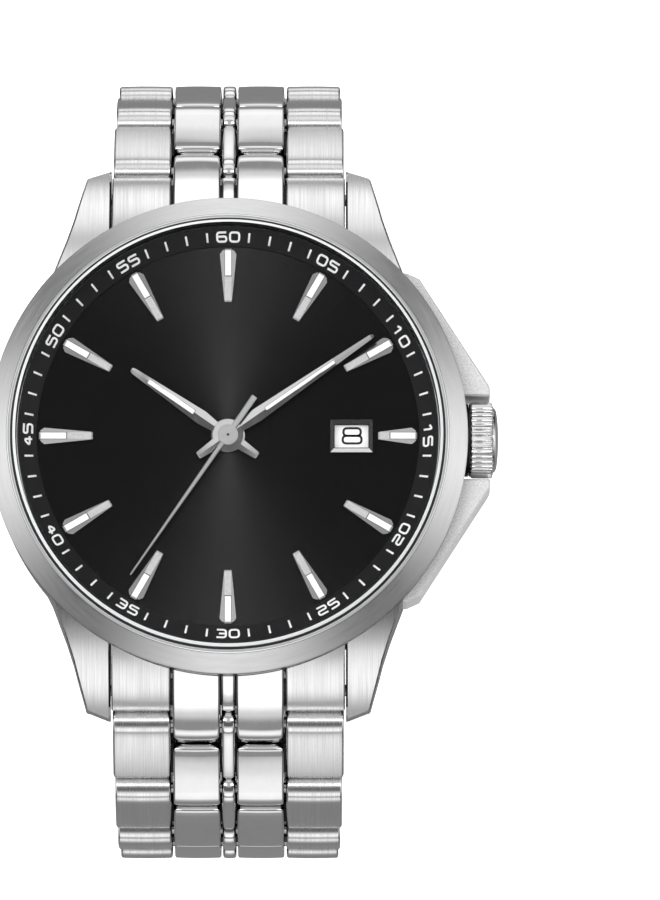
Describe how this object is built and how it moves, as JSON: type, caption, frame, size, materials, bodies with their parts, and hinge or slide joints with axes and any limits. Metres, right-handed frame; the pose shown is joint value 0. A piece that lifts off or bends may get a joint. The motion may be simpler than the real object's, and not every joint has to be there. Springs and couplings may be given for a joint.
{
  "type": "wristwatch",
  "caption": "Round automatic wristwatch with date, closed steel bracelet, pull-out crown and folding clasp with push buttons.",
  "frame": {"origin": "centre of the case back's outer flat face", "axes": "+Z out of the dial towards the viewer, +Y towards 12 o'clock, +X towards 3 o'clock and the crown"},
  "size_m": [0.0434, 0.0668, 0.0497],
  "materials": {
    "brushed_steel": "brushed",
    "polished_steel": "mirror polish",
    "bracelet_steel": "brushed outer links, polished inner links",
    "crystal_glass": "clear, flat",
    "gasket_rubber": "matt",
    "black_dial": "sunburst black",
    "marker_metal": "faceted, polished",
    "lume": "matt white",
    "date_white": "matt white",
    "holder_plastic": "matt",
    "movement_brass": "plated",
    "bridge_nickel": "striped",
    "blued_steel": "heat blued"
  },
  "bodies": {
    "head": {"case_middle": "brushed_steel", "bezel": "brushed_steel", "crystal": "crystal_glass", "crystal_gasket": "gasket_rubber", "chapter_ring": "black_dial", "dial": "black_dial", "hour_markers": "marker_metal", "marker_lume": "lume", "date_frame": "marker_metal", "movement_holder": "holder_plastic", "main_plate": "movement_brass", "train_bridge": "bridge_nickel", "bridge_screws": "blued_steel", "balance_cock": "bridge_nickel", "rotor_bearing": "polished_steel", "crown_tube": "polished_steel", "case_back": "polished_steel", "case_back_gasket": "gasket_rubber", "end_link_12": "bracelet_steel", "end_link_6": "bracelet_steel", "spring_bars": "polished_steel"},
    "second_hand": {"second_hand": "marker_metal", "fourth_wheel": "movement_brass"},
    "minute_hand": {"minute_hand": "marker_metal", "cannon_pinion": "polished_steel"},
    "hour_hand": {"hour_hand": "marker_metal", "hour_wheel": "movement_brass"},
    "minute_wheel": {"minute_wheel": "movement_brass"},
    "third_wheel": {"third_wheel": "movement_brass"},
    "great_wheel": {"great_wheel": "movement_brass"},
    "barrel": {"barrel": "movement_brass"},
    "escape_wheel": {"escape_wheel": "polished_steel"},
    "pallet_fork": {"pallet_fork": "polished_steel"},
    "balance": {"balance_wheel": "movement_brass", "hairspring": "blued_steel"},
    "rotor": {"rotor": "bridge_nickel"},
    "date_disc": {"date_disc": "date_white"},
    "setting_lever": {"setting_lever": "polished_steel"},
    "crown": {"crown": "polished_steel", "winding_stem": "polished_steel", "crown_gasket": "gasket_rubber"},
    "link_12_1": {"link_12_1": "bracelet_steel"},
    "link_12_2": {"link_12_2": "bracelet_steel"},
    "link_12_3": {"link_12_3": "bracelet_steel"},
    "link_12_4": {"link_12_4": "bracelet_steel"},
    "link_12_5": {"link_12_5": "bracelet_steel"},
    "link_12_6": {"link_12_6": "bracelet_steel"},
    "link_6_1": {"link_6_1": "bracelet_steel"},
    "link_6_2": {"link_6_2": "bracelet_steel"},
    "link_6_3": {"link_6_3": "bracelet_steel"},
    "link_6_4": {"link_6_4": "bracelet_steel"},
    "link_6_5": {"link_6_5": "bracelet_steel"},
    "link_6_6": {"link_6_6": "bracelet_steel"},
    "clasp_blade_long": {"clasp_blade_long": "polished_steel", "blade_pin": "polished_steel"},
    "clasp_blade_short": {"clasp_blade_short": "polished_steel"},
    "clasp_cover": {"clasp_cover": "brushed_steel", "cover_pin": "polished_steel"},
    "clasp_button_left": {"clasp_button_left": "polished_steel"},
    "clasp_button_right": {"clasp_button_right": "polished_steel"}
  },
  "joints": [
    {"name": "second_hand_turn", "type": "hinge", "parent": "head", "child": "second_hand", "pos_m": [0, 0, 0.0095], "axis": [0, 0, -1], "continuous": true},
    {"name": "minute_hand_turn", "type": "hinge", "parent": "head", "child": "minute_hand", "pos_m": [0, 0, 0.0092], "axis": [0, 0, -1], "continuous": true},
    {"name": "hour_hand_turn", "type": "hinge", "parent": "head", "child": "hour_hand", "pos_m": [0, 0, 0.0089], "axis": [0, 0, -1], "continuous": true},
    {"name": "minute_wheel_turn", "type": "hinge", "parent": "head", "child": "minute_wheel", "pos_m": [-0.00109, -0.00301, 0.0074], "axis": [0, 0, -1], "continuous": true},
    {"name": "third_wheel_turn", "type": "hinge", "parent": "head", "child": "third_wheel", "pos_m": [0.0017, 0.00294, 0.0039], "axis": [0, 0, -1], "continuous": true},
    {"name": "great_wheel_turn", "type": "hinge", "parent": "head", "child": "great_wheel", "pos_m": [0.00242, 0.00702, 0.0036], "axis": [0, 0, -1], "continuous": true},
    {"name": "barrel_turn", "type": "hinge", "parent": "head", "child": "barrel", "pos_m": [-0.00364, 0.00529, 0.005], "axis": [0, 0, -1], "continuous": true},
    {"name": "escape_wheel_turn", "type": "hinge", "parent": "head", "child": "escape_wheel", "pos_m": [0.00173, -0.003, 0.0045], "axis": [0, 0, -1], "continuous": true},
    {"name": "pallet_swing", "type": "hinge", "parent": "head", "child": "pallet_fork", "pos_m": [-0.00023, -0.00438, 0.0045], "axis": [0, 0, -1], "range_deg": [-5, 5]},
    {"name": "balance_swing", "type": "hinge", "parent": "head", "child": "balance", "pos_m": [-0.00261, -0.00721, 0.004], "axis": [0, 0, -1], "range_deg": [-270, 270], "stiffness_Nm_per_rad": 0.00000024},
    {"name": "rotor_turn", "type": "hinge", "parent": "head", "child": "rotor", "pos_m": [0, 0, 0.0017], "axis": [0, 0, -1], "continuous": true},
    {"name": "date_disc_turn", "type": "hinge", "parent": "head", "child": "date_disc", "pos_m": [0, 0, 0.0079], "axis": [0, 0, -1], "continuous": true},
    {"name": "crown_pull", "type": "slide", "parent": "head", "child": "setting_lever", "axis": [1, 0, 0], "range_m": [0, 0.0016]},
    {"name": "crown_turn", "type": "hinge", "parent": "setting_lever", "child": "crown", "pos_m": [0.02, 0, 0.00585], "axis": [1, 0, 0], "continuous": true},
    {"name": "link_12_1_hinge", "type": "hinge", "parent": "head", "child": "link_12_1", "pos_m": [0, 0.02365, 0.00145], "axis": [1, 0, 0], "range_deg": [0, 24]},
    {"name": "link_12_2_hinge", "type": "hinge", "parent": "link_12_1", "child": "link_12_2", "pos_m": [0, 0.02865, -0.00373], "axis": [1, 0, 0], "range_deg": [0, 24]},
    {"name": "link_12_3_hinge", "type": "hinge", "parent": "link_12_2", "child": "link_12_3", "pos_m": [0, 0.03149, -0.01035], "axis": [1, 0, 0], "range_deg": [0, 24]},
    {"name": "link_12_4_hinge", "type": "hinge", "parent": "link_12_3", "child": "link_12_4", "pos_m": [0, 0.03179, -0.01754], "axis": [1, 0, 0], "range_deg": [0, 24]},
    {"name": "link_12_5_hinge", "type": "hinge", "parent": "link_12_4", "child": "link_12_5", "pos_m": [0, 0.02952, -0.02437], "axis": [1, 0, 0], "range_deg": [0, 24]},
    {"name": "link_12_6_hinge", "type": "hinge", "parent": "link_12_5", "child": "link_12_6", "pos_m": [0, 0.02497, -0.02995], "axis": [1, 0, 0], "range_deg": [0, 24]},
    {"name": "link_6_1_hinge", "type": "hinge", "parent": "head", "child": "link_6_1", "pos_m": [0, -0.02365, 0.00145], "axis": [-1, 0, 0], "range_deg": [0, 24]},
    {"name": "link_6_2_hinge", "type": "hinge", "parent": "link_6_1", "child": "link_6_2", "pos_m": [0, -0.02865, -0.00373], "axis": [-1, 0, 0], "range_deg": [0, 24]},
    {"name": "link_6_3_hinge", "type": "hinge", "parent": "link_6_2", "child": "link_6_3", "pos_m": [0, -0.03149, -0.01035], "axis": [-1, 0, 0], "range_deg": [0, 24]},
    {"name": "link_6_4_hinge", "type": "hinge", "parent": "link_6_3", "child": "link_6_4", "pos_m": [0, -0.03179, -0.01754], "axis": [-1, 0, 0], "range_deg": [0, 24]},
    {"name": "link_6_5_hinge", "type": "hinge", "parent": "link_6_4", "child": "link_6_5", "pos_m": [0, -0.02952, -0.02437], "axis": [-1, 0, 0], "range_deg": [0, 24]},
    {"name": "link_6_6_hinge", "type": "hinge", "parent": "link_6_5", "child": "link_6_6", "pos_m": [0, -0.02497, -0.02995], "axis": [-1, 0, 0], "range_deg": [0, 24]},
    {"name": "clasp_hinge", "type": "hinge", "parent": "link_6_6", "child": "clasp_blade_long", "pos_m": [0, -0.01873, -0.03355], "axis": [-1, 0, 0], "range_deg": [0, 24]},
    {"name": "clasp_fold", "type": "hinge", "parent": "clasp_blade_long", "child": "clasp_blade_short", "pos_m": [0, 0.01235, -0.03465], "axis": [1, 0, 0], "range_deg": [0, 150]},
    {"name": "cover_fold", "type": "hinge", "parent": "clasp_blade_short", "child": "clasp_cover", "pos_m": [0, -0.0135, -0.03501], "axis": [-1, 0, 0], "range_deg": [0, 150]},
    {"name": "button_left_press", "type": "slide", "parent": "clasp_cover", "child": "clasp_button_left", "axis": [1, 0, 0], "range_m": [0, 0.0006], "stiffness_N_per_m": 400, "springref_m": -0.0008},
    {"name": "button_right_press", "type": "slide", "parent": "clasp_cover", "child": "clasp_button_right", "axis": [-1, 0, 0], "range_m": [0, 0.0006], "stiffness_N_per_m": 400, "springref_m": -0.0008}
  ],
  "couplings": [
    {"joint": "minute_hand_turn", "follows": "second_hand_turn", "ratio": 0.016667},
    {"joint": "hour_hand_turn", "follows": "second_hand_turn", "ratio": 0.0013889},
    {"joint": "minute_wheel_turn", "follows": "second_hand_turn", "ratio": -0.0055556},
    {"joint": "third_wheel_turn", "follows": "second_hand_turn", "ratio": -0.13333},
    {"joint": "great_wheel_turn", "follows": "second_hand_turn", "ratio": 0.016667},
    {"joint": "barrel_turn", "follows": "second_hand_turn", "ratio": -0.0025641},
    {"joint": "escape_wheel_turn", "follows": "second_hand_turn", "ratio": -10},
    {"joint": "cover_fold", "follows": "clasp_fold", "ratio": 1}
  ]
}
